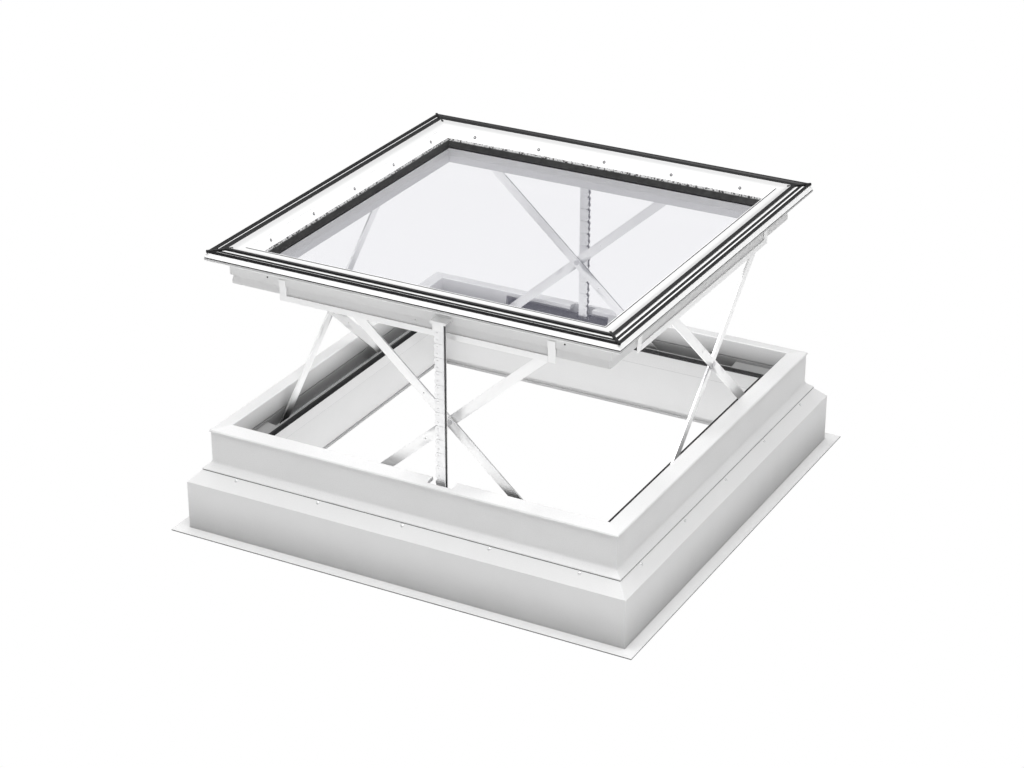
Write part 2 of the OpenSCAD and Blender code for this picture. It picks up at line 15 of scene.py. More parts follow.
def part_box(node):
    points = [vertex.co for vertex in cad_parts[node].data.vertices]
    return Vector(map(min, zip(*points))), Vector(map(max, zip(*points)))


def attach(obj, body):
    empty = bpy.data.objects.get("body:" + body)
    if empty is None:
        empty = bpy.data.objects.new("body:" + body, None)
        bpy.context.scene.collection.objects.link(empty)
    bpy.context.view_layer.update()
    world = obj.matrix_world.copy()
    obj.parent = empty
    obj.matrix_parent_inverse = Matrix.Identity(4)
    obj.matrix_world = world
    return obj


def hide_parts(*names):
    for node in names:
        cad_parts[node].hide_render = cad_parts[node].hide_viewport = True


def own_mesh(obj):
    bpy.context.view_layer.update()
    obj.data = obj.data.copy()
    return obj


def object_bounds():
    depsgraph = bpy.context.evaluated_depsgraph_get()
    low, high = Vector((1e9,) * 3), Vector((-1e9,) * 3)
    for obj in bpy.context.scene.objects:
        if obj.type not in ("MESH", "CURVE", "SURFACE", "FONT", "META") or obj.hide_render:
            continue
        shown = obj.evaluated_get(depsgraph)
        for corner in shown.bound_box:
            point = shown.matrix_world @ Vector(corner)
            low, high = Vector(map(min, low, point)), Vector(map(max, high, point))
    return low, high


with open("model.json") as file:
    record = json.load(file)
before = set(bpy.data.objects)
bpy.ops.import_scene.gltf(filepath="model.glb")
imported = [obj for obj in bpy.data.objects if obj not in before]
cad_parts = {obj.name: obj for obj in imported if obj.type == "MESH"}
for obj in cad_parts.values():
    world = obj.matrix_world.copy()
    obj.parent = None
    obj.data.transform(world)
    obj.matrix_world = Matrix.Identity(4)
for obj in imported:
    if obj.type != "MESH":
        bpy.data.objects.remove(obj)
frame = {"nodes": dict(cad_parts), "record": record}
cad_box = [list(corner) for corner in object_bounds()]
bodies = frame["record"]["behaviour"]["bodies"]
node_body = {node: body for body, members in bodies.items() for node in members}
SIDES = ("front", "right", "back", "left")
MM = 0.001

# %% [markdown]
# The camera comes first, because every later choice is judged through it. It stands to the right of
# the front side and looks down a little, with a long lens that keeps the sides nearly parallel.
# The picture is 1024 pixels wide and 768 high, and the lens is given on a sensor of the same shape.

# %% Camera
camera_place = Vector((3.2019, -5.9511, 3.5950))
camera_azimuth = math.radians(28.43)
camera_elevation = math.radians(25.81)
camera_roll = math.radians(0.037)
lens_data = bpy.data.cameras.new("studio_camera")
lens_data.sensor_width = 36.0
lens_data.lens = 89.60
camera = bpy.data.objects.new("studio_camera", lens_data)
camera.rotation_mode = "XYZ"
camera.matrix_world = (
    Matrix.Translation(camera_place)
    @ Matrix.Rotation(camera_azimuth, 4, "Z")
    @ Matrix.Rotation(math.pi / 2 - camera_elevation, 4, "X")
    @ Matrix.Rotation(camera_roll, 4, "Z")
)
bpy.context.scene.collection.objects.link(camera)
bpy.context.scene.camera = camera
print("camera stands", round(camera_place.length, 2), "m from the origin")

# %% [markdown]
# A white object on a white floor shows its form only by soft shading. A wide softbox overhead lights the
# tops, the floor throws much of that light back up at the walls and into the opening, and a dim even sky
# fills what is left. A light table under the opening stands for the bright room below and lights the
# lining. To the camera the floor is an even white sweep, so that no shadow runs into the outline of a white
# object. The plain view transform keeps white as white.

# %% Studio light and floor
sky_light = 0.30
sky_seen = 1.0
softbox_power = 395.0
softbox_size = 5.0
softbox_place = Vector((0.05, -0.45, 5.0))
floor_half = 30.0
floor_paint = (0.78, 0.78, 0.78, 1)
floor_seen = 1.0
table_half = 0.59
table_lift = 0.001
table_glow = 1.15
white = (1.0, 1.0, 1.0, 1.0)


def lit(tree, kind, colour, strength=None):
    """A shader of one colour."""
    shader = tree.nodes.new("ShaderNode" + kind)
    shader.inputs["Color"].default_value = colour
    if strength is not None:
        shader.inputs["Strength"].default_value = strength
    return shader.outputs[0]


def two_faced(tree, seen, bounced):
    """One shader for what the camera sees straight and another for light that bounces."""
    ray = tree.nodes.new("ShaderNodeLightPath")
    mixer = tree.nodes.new("ShaderNodeMixShader")
    tree.links.new(ray.outputs["Is Camera Ray"], mixer.inputs[0])
    tree.links.new(bounced, mixer.inputs[1])
    tree.links.new(seen, mixer.inputs[2])
    return mixer.outputs[0]


world = bpy.data.worlds.new("studio_sky")
world.use_nodes = True
world.node_tree.nodes.clear()
sky_out = world.node_tree.nodes.new("ShaderNodeOutputWorld")
sky_tree = world.node_tree
bright_sky = lit(sky_tree, "Background", white, sky_seen)
dim_sky = lit(sky_tree, "Background", white, sky_light)
sky_tree.links.new(two_faced(sky_tree, bright_sky, dim_sky), sky_out.inputs["Surface"])
bpy.context.scene.world = world
bpy.context.scene.view_settings.view_transform = "Standard"

softbox_data = bpy.data.lights.new("softbox", "AREA")
softbox_data.energy = softbox_power
softbox_data.size = softbox_size
softbox = bpy.data.objects.new("softbox", softbox_data)
softbox.location = softbox_place
bpy.context.scene.collection.objects.link(softbox)


def stage_plane(name, half, height, seen, bounced):
    """A level square that belongs to the studio: seen and bounced are (shader kind, colour, strength)."""
    bm = bmesh.new()
    place = Matrix.Translation((0, 0, height))
    bmesh.ops.create_grid(bm, x_segments=1, y_segments=1, size=half, matrix=place)
    mesh = bpy.data.meshes.new(name)
    bm.to_mesh(mesh)
    bm.free()
    finish = bpy.data.materials.new(name)
    finish.use_nodes = True
    tree = finish.node_tree
    tree.nodes.clear()
    out = tree.nodes.new("ShaderNodeOutputMaterial")
    tree.links.new(two_faced(tree, lit(tree, *seen), lit(tree, *bounced)), out.inputs["Surface"])
    mesh.materials.append(finish)
    plane = bpy.data.objects.new(name, mesh)
    bpy.context.scene.collection.objects.link(plane)


white_sweep = ("Emission", white, floor_seen)
stage_plane("studio_floor", floor_half, 0.0, white_sweep, ("BsdfDiffuse", floor_paint))
stage_plane("light_table", table_half, table_lift, white_sweep, ("Emission", white, table_glow))
print("softbox of", softbox_size, "m over a floor of", 2 * floor_half, "m")

# %% [markdown]
# Finishes are built from nodes. Writing each node out by hand hides the idea of a finish behind the wiring,
# so one small class wraps a socket: sums on it add Math nodes, and its node method makes any other node.


# %% A socket that can be added and multiplied
class Wire:
    """An output socket that takes part in Python sums."""

    def __init__(self, tree, socket=None):
        self.tree = tree
        self.socket = socket

    def feed(self, socket, value):
        if isinstance(value, Wire):
            self.tree.links.new(value.socket, socket)
        else:
            socket.default_value = value

    def node(self, kind, settings=None, sockets=None, out=0):
        made = self.tree.nodes.new("ShaderNode" + kind)
        for name, value in (settings or {}).items():
            setattr(made, name, value)
        for key, value in (sockets or {}).items():
            self.feed(made.inputs[key], value)
        return Wire(self.tree, made.outputs[out])

    def math(self, operation, first, second=0.0):
        return self.node("Math", {"operation": operation}, {0: first, 1: second})

    def __add__(self, other):
        return self.math("ADD", self, other)

    def __sub__(self, other):
        return self.math("SUBTRACT", self, other)

    def __rsub__(self, other):
        return self.math("SUBTRACT", other, self)

    def __mul__(self, other):
        return self.math("MULTIPLY", self, other)

    __radd__ = __add__
    __rmul__ = __mul__


def grey(value):
    """A neutral colour."""
    return (value, value, value, 1.0)


def new_finish(name, **sockets):
    """A material with one Principled shader: its fixed values go straight on the sockets."""
    finish = bpy.data.materials.new(name)
    finish.use_nodes = True
    tree = finish.node_tree
    shader = tree.nodes["Principled BSDF"]
    for socket, value in sockets.items():
        shader.inputs[socket.replace("_", " ")].default_value = value
    return Wire(tree), shader.inputs, finish


def mixed(paint, mask, low, high):
    """A colour between two others."""
    return paint.node("Mix", {"data_type": "RGBA"}, {0: mask, 6: low, 7: high}, out=2)


def ramp(paint, value, start, end):
    """A soft step from 0 to 1 as a value goes from start to end."""
    limits = {"Value": value, "From Min": start, "From Max": end, "To Min": 0.0, "To Max": 1.0}
    return paint.node("MapRange", {"interpolation_type": "SMOOTHSTEP"}, limits)


def spots(paint, place, scale, detail=2.0):
    """Noise on the piece's own coordinates."""
    return paint.node("TexNoise", None, {"Vector": place, "Scale": scale, "Detail": detail})


def object_place(paint):
    """The piece's own coordinates, and its three parts."""
    place = paint.node("TexCoord", out="Object")
    parts = [paint.node("SeparateXYZ", None, {0: place}, out=axis) for axis in range(3)]
    return place, parts


def from_middle(paint, parts):
    """Distance from the middle of the opening, measured square to the nearest side."""
    return paint.math("MAXIMUM", paint.math("ABSOLUTE", parts[0]), paint.math("ABSOLUTE", parts[1]))


def bump(paint, height, strength, distance):
    """A normal that follows a height."""
    return paint.node("Bump", None, {"Strength": strength, "Distance": distance, "Height": height})


finishes = {}
print("finishes can be written as sums")

# %% [markdown]
# The kerb is a moulded, foam-filled bar of pale plastic with a fine grain. Its walls carry painted shade
# that darkens them towards the roof, the flange carries a little painted shade against the strong top
# light, and the outer edge of the flange is painted dark.

# %% Finish of the kerb
kerb_light = 0.78
kerb_painted_shade = 0.48
painted_shade_top = 0.135
kerb_wall = 0.702
flange_reach = cad_box[1][0]
flange_edge_dark = 0.16
flange_painted_shade = 0.15


def kerb_plastic():
    paint, inputs, finish = new_finish("kerb_plastic", Roughness=0.5, Coat_Weight=0.05)
    place, parts = object_place(paint)
    distance = from_middle(paint, parts)
    on_wall = ramp(paint, distance, kerb_wall - 3 * MM, kerb_wall - 1 * MM)
    past_wall = ramp(paint, distance, kerb_wall + 1 * MM, kerb_wall + 4 * MM)
    rise = ramp(paint, parts[2], -0.02, painted_shade_top)
    # Painted shade: the walls darken towards the roof, and the flange is a little darker.
    shade = (1 - rise) * on_wall * (1 - past_wall) + past_wall * flange_painted_shade
    # The outer edge of the flange is painted dark.
    cut_edge = ramp(paint, distance, flange_reach - 0.5 * MM, flange_reach - 0.1 * MM)
    grain = spots(paint, place, 520.0)
    cloud = spots(paint, place, 14.0)
    body = mixed(paint, shade, grey(kerb_light), grey(kerb_painted_shade))
    flecked = mixed(paint, (grain - 0.5) * 0.35 + (cloud - 0.5) * 0.12 + 0.12, body, grey(1.0))
    paint.feed(inputs["Base Color"], mixed(paint, cut_edge, flecked, grey(flange_edge_dark)))
    paint.feed(inputs["Roughness"], 0.42 + 0.2 * grain)
    paint.feed(inputs["Normal"], bump(paint, grain, 0.35, 0.6 * MM))
    return finish


finishes["kerb_pvc"] = kerb_plastic()
print("kerb plastic from", kerb_painted_shade, "at the foot to", kerb_light)

# %% [markdown]
# The frame, the sash and the glazing beads are white extruded plastic: smooth, slightly glossy, with faint
# draw lines along the bar and a hint of cloudiness that keeps large faces from looking like paper. The beads
# are the whitest, but their tops and the ramps up to the seal carry painted shade against the strong top
# light.
# The frame is the greyest, with painted shade in its trough and on the top of its inner wall, and the sash has
# painted shade on its inner face, the edge of its lip and its ribs. Each painted place is a mask between two
# stations in millimetres.

# %% Finish of the frame, the sash and the beads
cloud_depth = 0.05
wall_top_inner = (552, 553)
wall_top_above = (236, 240)
trough_inner = (561, 563)
trough_outer = (602.8, 604.8)
painted_shade_fades = (225, 325)
inner_face_ends = (529.5, 531)
lip_edge_inner = (640.5, 641.5)
lip_edge_top = (836.5, 838)
ribs_above = (846, 848)
ribs_outer = (626, 627)
ribs_share = 0.5
bead_top_above = (853, 854.8)
bead_top_inner = (555.8, 556.8)
bead_ramp = (570, 586)
top_share = 0.60
ramp_share = 0.24


def past(paint, value, stations):
    """A soft step from 0 to 1 between two stations in millimetres."""
    return ramp(paint, value, stations[0] * MM, stations[1] * MM)


def white_plastic(name, brightness, fleck, shade=0.3, shaded=None):
    """White plastic: shaded gives the mask of the painted shade, from the distance and the height."""
    paint, inputs, finish = new_finish(name, IOR=1.5, Coat_Weight=0.1, Coat_Roughness=0.25)
    place, parts = object_place(paint)
    cloud = spots(paint, place, 9.0, 3.0)
    grain = spots(paint, place, 420.0, 2.0)
    lines = paint.node("TexNoise", {"noise_dimensions": "1D"}, {"W": parts[2] * 700.0, "Scale": 1.0})
    colour = mixed(paint, cloud, grey(brightness), grey(brightness - cloud_depth))
    colour = mixed(paint, ramp(paint, grain, 0.45, 0.75) * fleck, colour, grey(0.35))
    if shaded:
        colour = mixed(paint, shaded(paint, from_middle(paint, parts), parts[2]), colour, grey(shade))
    paint.feed(inputs["Base Color"], colour)
    paint.feed(inputs["Roughness"], 0.30 + 0.12 * cloud + 0.06 * grain)
    paint.feed(inputs["Normal"], bump(paint, grain + lines * 0.6, 0.06, 0.2 * MM))
    return finish


def trough_painted_shade(paint, distance, height):
    """Painted shade in the trough behind the rim and on the wall beside it, darker the deeper they are."""
    trough = past(paint, distance, trough_inner)
    wall_top = past(paint, distance, wall_top_inner) * past(paint, height, wall_top_above)
    inside = paint.math("MAXIMUM", trough, wall_top) * (1 - past(paint, distance, trough_outer))
    return inside * (1 - past(paint, height, painted_shade_fades))


def sash_painted_shade(paint, distance, height):
    """Painted shade on the sash's inner face below the panes, the edge of its lip and the ribs between its
    seals.
    """
    inner_face = 1 - past(paint, distance, inner_face_ends)
    lip_edge = past(paint, distance, lip_edge_inner) * (1 - past(paint, height, lip_edge_top))
    ribs = past(paint, height, ribs_above) * (1 - past(paint, distance, ribs_outer))
    return paint.math("MAXIMUM", paint.math("MAXIMUM", inner_face, lip_edge), ribs * ribs_share)


def top_painted_shade(paint, distance, height):
    """Painted shade on the top of the bead, and more on the ramp that runs up to the seal."""
    upper = past(paint, height, bead_top_above) * past(paint, distance, bead_top_inner)
    return upper * (top_share + ramp_share * past(paint, distance, bead_ramp))


# Painted shade on the sash: its inner face, the edge of its lip and its ribs.
finishes["white_pvc"] = white_plastic("sash_plastic", 0.94, 0.02, 0.58, sash_painted_shade)
# Painted shade on the frame: the trough and the top of its inner wall.
frame_plastic = white_plastic("frame_plastic", 0.82, 0.12, 0.16, trough_painted_shade)
# Painted shade on the bead: its top, and more on the ramp up to the seal.
bead_plastic = white_plastic("bead_plastic", 0.96, 0.0, 0.38, top_painted_shade)
print("three white plastics ready")

# %% [markdown]
# Seals and gaskets are black rubber. It is never quite black: a dusty bloom lightens it in patches, and
# the pressed lip of the glazing gasket carries pale specks of the sealant it was bedded in.

# %% Finish of the rubber
rubber_black = (0.004, 0.004, 0.0045, 1.0)
rubber_bloom = (0.018, 0.018, 0.019, 1.0)
dusty_rubber = grey(0.045)
sealant_pale = grey(0.56)
gasket_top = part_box("glazing_gasket")[1].z
speck_band = 8 * MM


def rubber(name, specked):
    paint, inputs, finish = new_finish(name, IOR=1.5, Specular_IOR_Level=0.3)
    place, parts = object_place(paint)
    bloom = spots(paint, place, 45.0, 4.0)
    grain = spots(paint, place, 800.0, 2.0)
    colour = mixed(paint, bloom * 0.8, rubber_black, rubber_bloom)
    if specked:
        band = ramp(paint, parts[2], gasket_top - speck_band, gasket_top - 0.4 * speck_band)
        speck = ramp(paint, spots(paint, place, 190.0, 3.0), 0.40, 0.52)
        colour = mixed(paint, bloom, colour, dusty_rubber)
        colour = mixed(paint, band * speck, colour, sealant_pale)
    paint.feed(inputs["Base Color"], colour)
    paint.feed(inputs["Roughness"], 0.34 + 0.22 * bloom)
    paint.feed(inputs["Normal"], bump(paint, grain, 0.15, 0.3 * MM))
    return finish


finishes["black_rubber"] = rubber("black_rubber", False)
specked_rubber = rubber("specked_rubber", True)
print("two rubbers, specked above", round(gasket_top - speck_band, 4))

# %% [markdown]
# The scissor arms are zinc-plated steel strip. The brush runs along each arm, so the pattern reads a UV map
# that is laid along the arm with its zero at the rivet, and one finish serves all eight. Round the rivet
# the two strips have rubbed each other dull, and the lower ends are painted dark: grease from their rails,
# and painted shade and reflection of the dark trough.

# %% Finishes of the metals
zinc_bright = (0.97, 0.97, 0.97, 1.0)
zinc_dull = (0.50, 0.50, 0.51, 1.0)
rubbed_reach = 0.17
shade_and_grease_start = -0.285
shade_and_grease_full = -0.385
steel_bright = (0.82, 0.82, 0.83, 1.0)


def flat_spots(paint, place, detail):
    """Noise on a UV map."""
    flat = {"noise_dimensions": "2D"}
    return paint.node("TexNoise", flat, {"Vector": place, "Scale": 1.0, "Detail": detail})


def brushed_zinc():
    paint, inputs, finish = new_finish("brushed_zinc", Metallic=0.85)
    along = paint.node("UVMap", {"uv_map": "grain"})
    up_arm = paint.node("SeparateXYZ", None, {0: along}, out=0)
    rubbed = 1 - ramp(paint, paint.math("ABSOLUTE", up_arm), 0.02, rubbed_reach)
    # Painted shade and reflection of the trough, with grease: the lower ends go dark.
    grease_and_painted_shade = 1 - ramp(paint, up_arm, shade_and_grease_full, shade_and_grease_start)
    stretched = paint.node("Mapping", None, {"Vector": along, "Scale": (6.0, 900.0, 1.0)})
    brush = flat_spots(paint, stretched, 3.0)
    patch_place = paint.node("Mapping", None, {"Vector": along, "Scale": (7.0, 20.0, 1.0)})
    patch = flat_spots(paint, patch_place, 2.0)
    dull = ramp(paint, patch, 0.46, 0.70) * (0.12 + 0.88 * rubbed)
    plated = mixed(paint, dull, zinc_bright, zinc_dull)
    paint.feed(inputs["Base Color"], mixed(paint, grease_and_painted_shade, plated, grey(0.05)))
    paint.feed(inputs["Roughness"], 0.26 + 0.16 * brush + 0.10 * dull)
    paint.feed(inputs["Normal"], bump(paint, brush, 0.10, 0.1 * MM))
    return finish


def plain_metal(name, bright, dull, rough, metallic):
    """A metal with faint cloudiness and a fine random scratch."""
    paint, inputs, finish = new_finish(name, Metallic=metallic)
    place, parts = object_place(paint)
    cloud = spots(paint, place, 30.0, 3.0)
    scratch = spots(paint, place, 650.0, 1.0)
    paint.feed(inputs["Base Color"], mixed(paint, cloud, bright, dull))
    paint.feed(inputs["Roughness"], rough + 0.12 * scratch)
    paint.feed(inputs["Normal"], bump(paint, scratch, 0.05, 0.1 * MM))
    return finish


finishes["arm_steel"] = brushed_zinc()
finishes["rail_metal"] = plain_metal("rail_metal", grey(0.97), grey(0.93), 0.34, 0.85)
finishes["pin_steel"] = plain_metal("pin_steel", steel_bright, zinc_dull, 0.28, 0.6)
finishes["screw_steel"] = plain_metal("screw_steel", zinc_bright, steel_bright, 0.22, 0.6)
finishes["spacer_metal"] = plain_metal("spacer_metal", grey(0.62), grey(0.55), 0.40, 0.4)
print("metals ready:", [slot for slot in finishes])

# %% [markdown]
# A push chain is bright outside; between its plates the steel is painted dark grey, as painted shade. The
# finish tells the two apart by the distance from the middle of the chain, which is the same at the front and
# at the back.

# %% Finish of the chains and their drives
chain_low, chain_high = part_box("push_chain_front")
chain_middle = -(chain_low.y + chain_high.y) / 2
plate_depth = 5.4 * MM


def chain_steel():
    paint, inputs, finish = new_finish("chain_steel", Metallic=0.85)
    place, parts = object_place(paint)
    depth = paint.math("ABSOLUTE", paint.math("ABSOLUTE", parts[1]) - chain_middle)
    outside = ramp(paint, depth, plate_depth - 0.3 * MM, plate_depth + 0.3 * MM)
    cloud = spots(paint, place, 60.0, 3.0)
    bright = mixed(paint, cloud, zinc_bright, steel_bright)
    # Painted shade: the steel between the plates is a dark grey.
    paint.feed(inputs["Base Color"], mixed(paint, outside, grey(0.30), bright))
    paint.feed(inputs["Roughness"], 0.50 - 0.22 * outside + 0.1 * cloud)
    return finish


def drive_plastic():
    paint, inputs, finish = new_finish("drive_plastic", Coat_Weight=0.05)
    place, parts = object_place(paint)
    grain = spots(paint, place, 420.0)
    cloud = spots(paint, place, 20.0)
    paint.feed(inputs["Base Color"], mixed(paint, cloud, grey(0.030), grey(0.018)))
    paint.feed(inputs["Roughness"], 0.42 + 0.2 * grain)
    paint.feed(inputs["Normal"], bump(paint, grain, 0.2, 0.3 * MM))
    return finish


finishes["chain_steel"] = chain_steel()
finishes["drive_housing"] = drive_plastic()
print("chain runs", round(chain_middle, 4), "m from the middle")

# %% [markdown]
# The double glazing is clear, with the pale lilac cast of a coated unit. True refraction through two thick
# panes would keep the soft light from reaching what lies below, so each face is a thin, tinted, mostly open
# skin instead: light and shadow pass, and it grows denser at a flat angle, as glass does. The rim of each
# pane lies bedded in pale sealant, so there it is opaque.

# %% Finish of the glass
glass_tint = (0.30, 0.30, 0.37, 1.0)
glass_haze = 0.010
glass_edge = 0.09
bedded_pale = grey(0.62)
bedded_from = 529.4 * MM


def clear_glass():
    paint, inputs, finish = new_finish("clear_glass", Roughness=0.03, IOR=1.5)
    place, parts = object_place(paint)
    bedded = ramp(paint, from_middle(paint, parts), bedded_from, bedded_from + 0.4 * MM)
    edge_on = paint.node("Fresnel", None, {"IOR": 1.35})
    paint.feed(inputs["Base Color"], mixed(paint, bedded, glass_tint, bedded_pale))
    paint.feed(inputs["Alpha"], paint.math("MAXIMUM", glass_haze + glass_edge * edge_on, bedded))
    return finish


finishes["clear_glass"] = clear_glass()
print("glass lets", round(1 - glass_haze, 3), "through each face")

# %% [markdown]
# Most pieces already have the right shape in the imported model, but with knife-sharp edges that catch no
# light. Each is copied, its loose triangles are merged into whole faces, and the edges that have room are
# bevelled. Edges on the corner mitres stay sharp, so that two bars still meet in one clean line.


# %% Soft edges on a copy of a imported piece
def merged_copy(node):
    """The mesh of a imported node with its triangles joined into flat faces."""
    bm = bmesh.new()
    bm.from_mesh(frame["nodes"][node].data)
    bmesh.ops.remove_doubles(bm, verts=bm.verts, dist=2e-6)
    bmesh.ops.dissolve_limit(bm, angle_limit=math.radians(0.5), verts=bm.verts, edges=bm.edges)
    return bm


def face_depth(face, edge):
    """How far a face reaches away from one of its edges."""
    start = edge.verts[0].co
    along = (edge.verts[1].co - start).normalized()
    return max(((v.co - start) - along * (v.co - start).dot(along)).length for v in face.verts)


def on_mitre(edge):
    """True for an edge in one of the two planes where the bars meet."""
    return all(abs(abs(v.co.x) - abs(v.co.y)) < 0.1 * MM for v in edge.verts)


def edges_to_soften(bm, width, least_angle):
    chosen = []
    for edge in bm.edges:
        if len(edge.link_faces) != 2 or on_mitre(edge):
            continue
        if edge.calc_face_angle() < least_angle:
            continue
        if min(face_depth(face, edge) for face in edge.link_faces) > 2.2 * width:
            chosen.append(edge)
    return chosen


def soften(bm, width, segments=2, least_angle=math.radians(24)):
    edges = edges_to_soften(bm, width, least_angle)
    bmesh.ops.bevel(bm, geom=edges, offset=width, offset_type="OFFSET", affect="EDGES", segments=segments,
                    profile=0.5, material=-1, clamp_overlap=True)
    return len(edges)


def make_piece(bm, name, body, slot, replaced=(), finish=None, crease=math.radians(40)):
    """Turns a bmesh into a piece that rides on a body and takes a finish."""
    for face in bm.faces:
        face.smooth = True
    for edge in bm.edges:
        edge.smooth = len(edge.link_faces) == 2 and edge.calc_face_angle() < crease
    mesh = bpy.data.meshes.new(name)
    bm.to_mesh(mesh)
    bm.free()
    mesh.materials.append(finish or finishes[slot])
    piece = bpy.data.objects.new(name, mesh)
    bpy.context.scene.collection.objects.link(piece)
    level = piece.modifiers.new("even_faces", "WEIGHTED_NORMAL")
    level.keep_sharp = True
    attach(piece, body)
    if replaced:
        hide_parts(*replaced)
    return piece


def shift_ribs(bm):
    """Moves the sash's ribs a little outwards, where the soft seals leave them, and lowers the fin."""
    for vert in bm.verts:
        if vert.co.z < rib_floor:
            continue
        is_fin = fin_from < max(abs(vert.co.x), abs(vert.co.y)) < fin_to
        vert.co.z = min(vert.co.z, fin_top if is_fin else rib_top)
        for old, new in rib_moves:
            if abs(max(abs(vert.co.x), abs(vert.co.y)) - old) < 0.1 * MM:
                vert.co.x *= new / old if abs(abs(vert.co.x) - old) < 0.1 * MM else 1.0
                vert.co.y *= new / old if abs(abs(vert.co.y) - old) < 0.1 * MM else 1.0
                break


def softened_node(node, slot, width, segments=2, finish=None):
    """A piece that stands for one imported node, with soft edges."""
    bm = merged_copy(node)
    if node.startswith("sash"):
        shift_ribs(bm)
    count = soften(bm, width, segments)
    piece = make_piece(bm, node + "_dressed", node_body[node], slot, [node], finish)
    return piece, count


# %% Bars, rails and brackets with soft edges
rib_floor = 848.0 * MM
rib_top = 855.0 * MM
fin_top = 854.3 * MM
fin_from = 616.0 * MM
fin_to = 621.0 * MM
rib_moves = (
    (605.5 * MM, 609.0 * MM),
    (606.5 * MM, 610.0 * MM),
    (617.0 * MM, 618.6 * MM),
    (620.5 * MM, 624.0 * MM),
)
bar_edges = {
    "kerb": ("kerb_pvc", 2.0 * MM, 3, None),
    "frame": ("white_pvc", 1.0 * MM, 2, frame_plastic),
    "sash": ("white_pvc", 0.8 * MM, 2, None),
    "glazing_bead": ("white_pvc", 1.0 * MM, 2, bead_plastic),
    "lower_rail": ("rail_metal", 0.5 * MM, 2, None),
    "upper_rail": ("rail_metal", 0.5 * MM, 2, None),
}
for family, (slot, width, segments, finish) in bar_edges.items():
    counts = [softened_node(family + "_" + side, slot, width, segments, finish)[1] for side in SIDES]
    print(family, "edges softened on each side:", counts)
driven_edges = (("chain_drive", "drive_housing", 1.2 * MM), ("chain_bracket", "rail_metal", 0.7 * MM))
small_edges = (
    ("rail_brackets", "rail_metal", 0.5 * MM),
    ("lower_pivot_pins", "pin_steel", 0.35 * MM),
    ("upper_pivot_pins", "pin_steel", 0.35 * MM),
)
for family, slot, width in driven_edges:
    counts = [softened_node(family + "_" + side, slot, width)[1] for side in ("front", "back")]
    print(family, "edges softened:", counts)
for node, slot, width in small_edges:
    print(node, "edges softened:", softened_node(node, slot, width)[1])

# %% [markdown]
# The arms get the same treatment, plus a UV map laid along each strip for the brushed grain. Its direction
# follows from the two ends of the arm, so one function serves the arms that lean left or right.


# %% Scissor arms
def lay_grain(bm, side_turn, lean):
    """A UV map whose first axis runs up along the arm, in metres from its middle."""
    layer = bm.loops.layers.uv.new("grain")
    turn = Matrix.Rotation(side_turn, 3, "Z")
    middle = sum((v.co for v in bm.verts), Vector()) / len(bm.verts)
    along = turn @ Vector((math.cos(lean), 0, math.sin(lean)))
    across = turn @ Vector((-math.sin(lean), 0, math.cos(lean)))
    for face in bm.faces:
        for loop in face.loops:
            reach_out = loop.vert.co - middle
            loop[layer].uv = (reach_out.dot(along), reach_out.dot(across))


arm_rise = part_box("front_inner_arm")[1].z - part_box("front_inner_arm")[0].z
arm_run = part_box("front_inner_arm")[1].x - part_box("front_inner_arm")[0].x
arm_lean = math.atan2(arm_rise, arm_run)
for turn, side in enumerate(SIDES):
    for kind, lean in (("inner", arm_lean), ("outer", math.pi - arm_lean)):
        node = side + "_" + kind + "_arm"
        strip = merged_copy(node)
        soften(strip, 0.7 * MM)
        lay_grain(strip, turn * math.pi / 2, lean)
        make_piece(strip, node + "_strip", node_body[node], "arm_steel", [node])
    for node in (side + "_outer_arm_studs", side + "_inner_arm_stud"):
        softened_node(node, "pin_steel", 0.35 * MM)
print("arms lean", round(math.degrees(arm_lean), 1), "degrees")

# %% [markdown]
# A seal or gasket runs round the whole square with one section. The section is a flat face whose corners
# are rounded by a vertex bevel. It is extruded along the front, cut at both mitres and spun to the other
# three sides, and the cut ends weld into one closed ring of rubber.


# %% A ring of one section
def ring_of_section(corners, half_length=1.0):
    """A closed square ring: corners are (distance from the middle, height, corner radius)."""
    bm = bmesh.new()
    verts = [bm.verts.new((-half_length, -s, z)) for s, z, radius in corners]
    bm.faces.new(verts)
    for vert, (s, z, radius) in zip(verts, corners):
        if radius > 0:
            bmesh.ops.bevel(bm, geom=[vert], offset=radius, offset_type="OFFSET", affect="VERTICES",
                            segments=5, profile=0.5, material=-1, clamp_overlap=True)
    first = bm.faces[:]
    swept = bmesh.ops.extrude_face_region(bm, geom=first, use_keep_orig=True)
    moved = [part for part in swept["geom"] if isinstance(part, bmesh.types.BMVert)]
    bmesh.ops.translate(bm, verts=moved, vec=(2 * half_length, 0, 0))
    caps = [face for face in bm.faces if abs(face.normal.x) > 0.9]
    bmesh.ops.delete(bm, geom=caps, context="FACES_ONLY")
    for normal in ((1, 1, 0), (-1, 1, 0)):
        everything = bm.verts[:] + bm.edges[:] + bm.faces[:]
        bmesh.ops.bisect_plane(bm, geom=everything, dist=1e-7, plane_co=(0, 0, 0), plane_no=normal,
                               clear_outer=True)
    everything = bm.verts[:] + bm.edges[:] + bm.faces[:]
    bmesh.ops.spin(bm, geom=everything, cent=(0, 0, 0), axis=(0, 0, 1), dvec=(0, 0, 0), angle=1.5 * math.pi,
                   steps=3, use_duplicate=True)
    bmesh.ops.remove_doubles(bm, verts=bm.verts, dist=1e-5)
    bmesh.ops.recalc_face_normals(bm, faces=bm.faces)
    return bm


def ring_points(node):
    """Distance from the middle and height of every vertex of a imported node."""
    return [(max(abs(v.co.x), abs(v.co.y)), v.co.z) for v in frame["nodes"][node].data.vertices]


